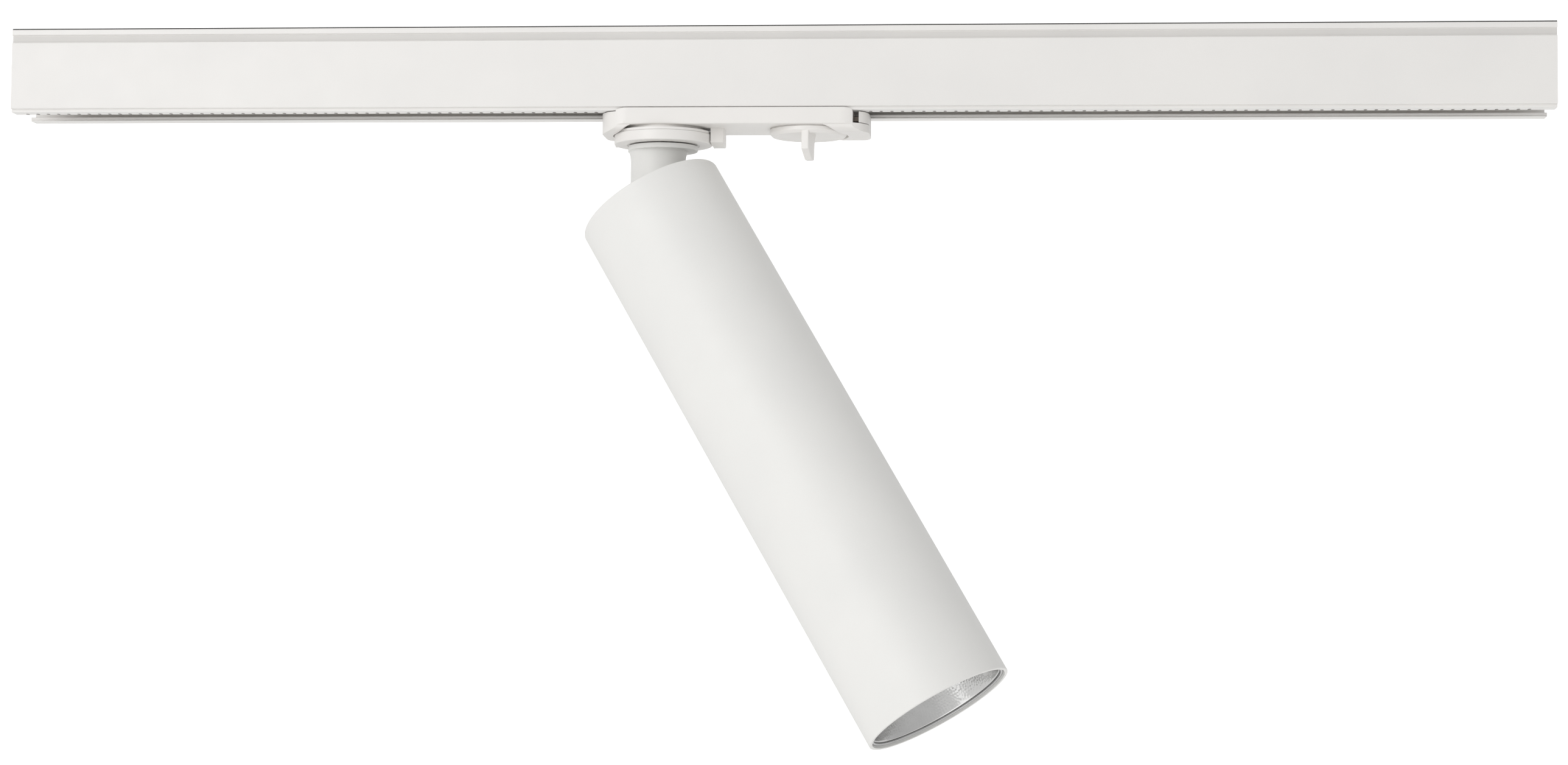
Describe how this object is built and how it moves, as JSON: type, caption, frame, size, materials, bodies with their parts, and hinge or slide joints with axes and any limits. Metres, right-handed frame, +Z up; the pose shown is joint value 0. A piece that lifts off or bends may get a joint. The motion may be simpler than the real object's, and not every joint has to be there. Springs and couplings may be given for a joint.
{
  "type": "track spotlight",
  "caption": "Cylindrical track spotlight on a swivel and tilt stem, plugged by a lever-locked adapter into a length of three-circuit track.",
  "frame": {"origin": "at the track_ceiling_face mount: in the plane of the track's top face, straight above the lamp's swivel axis in its rest position", "axes": "+X along the track, from the swivel towards the adapter's locking lever; +Y across the track, away from the side the head leans to; +Z up, towards the ceiling"},
  "size_m": [0.6384, 0.1117, 0.2954],
  "materials": {
    "track_paint": "powder coated white, satin",
    "adapter_white": "moulded white polycarbonate, satin",
    "lamp_paint": "fine powder coat, white, matt",
    "liner_grey": "extruded insulating plastic",
    "core_black": "glass filled plastic, black",
    "copper": "drawn copper",
    "brass": "turned or stamped brass",
    "steel": "zinc plated",
    "aluminium_bare": "machined or extruded, uncoated",
    "housing_white": "moulded white plastic",
    "cable_sheath": "black cable sheath",
    "led_ceramic": "white ceramic board with a yellow phosphor disc",
    "reflector_silver": "bright aluminium with a hammered face"
  },
  "bodies": {
    "track": {"track_extrusion": "track_paint", "insulating_liner_near": "liner_grey", "insulating_liner_far": "liner_grey", "conductor_phase_1": "copper", "conductor_phase_2": "copper", "conductor_phase_3": "copper", "conductor_neutral": "copper", "conductor_earth": "copper"},
    "adapter": {"adapter_base": "adapter_white", "adapter_core": "core_black", "contact_phase_1": "copper", "contact_phase_2": "copper", "contact_phase_3": "copper", "contact_neutral": "copper", "earth_contact": "brass", "terminal_block": "housing_white", "latch_spring": "steel"},
    "latch": {"release_latch": "adapter_white", "latch_plate": "steel"},
    "lever": {"lock_lever": "adapter_white", "locking_cam": "steel"},
    "swivel": {"swivel_ring": "adapter_white", "thrust_washer": "core_black", "stem": "lamp_paint", "threaded_nipple": "brass", "swivel_lock_nut": "steel", "spring_washer": "steel", "supply_cable": "cable_sheath"},
    "head": {"lamp_tube": "lamp_paint", "top_cap": "lamp_paint", "cap_screw_near": "steel", "cap_screw_far": "steel", "hinge_bracket": "aluminium_bare", "tilt_bolt": "steel", "tilt_lock_nut": "steel", "friction_washer_near": "core_black", "friction_washer_far": "core_black", "led_driver": "housing_white", "driver_clip_1": "steel", "driver_clip_2": "steel", "driver_input_lead": "cable_sheath", "heat_sink": "aluminium_bare", "led_lead": "cable_sheath", "thermal_pad": "liner_grey", "led_module": "led_ceramic", "led_holder": "housing_white", "holder_screw_1": "steel", "holder_screw_2": "steel", "reflector": "reflector_silver", "retaining_ring": "steel"}
  },
  "joints": [
    {"name": "adapter_slide", "type": "slide", "parent": "track", "child": "adapter", "axis": [1, 0, 0], "range_m": [-0.246, 0.277]},
    {"name": "latch_press", "type": "slide", "parent": "adapter", "child": "latch", "axis": [-1, 0, 0], "range_m": [0, 0.0019], "stiffness_N_per_m": 400},
    {"name": "lever_turn", "type": "hinge", "parent": "adapter", "child": "lever", "pos_m": [0.0608, 0, -0.035], "axis": [0, 0, 1], "range_deg": [0, 90]},
    {"name": "swivel_turn", "type": "hinge", "parent": "adapter", "child": "swivel", "pos_m": [0, 0, -0.035], "axis": [0, 0, 1], "range_deg": [-130, 175]},
    {"name": "head_tilt", "type": "hinge", "parent": "swivel", "child": "head", "pos_m": [-0.00222, 0.00092, -0.07644], "axis": [-0.3811, -0.9245, 0], "range_deg": [-72.6, 10.3]}
  ]
}
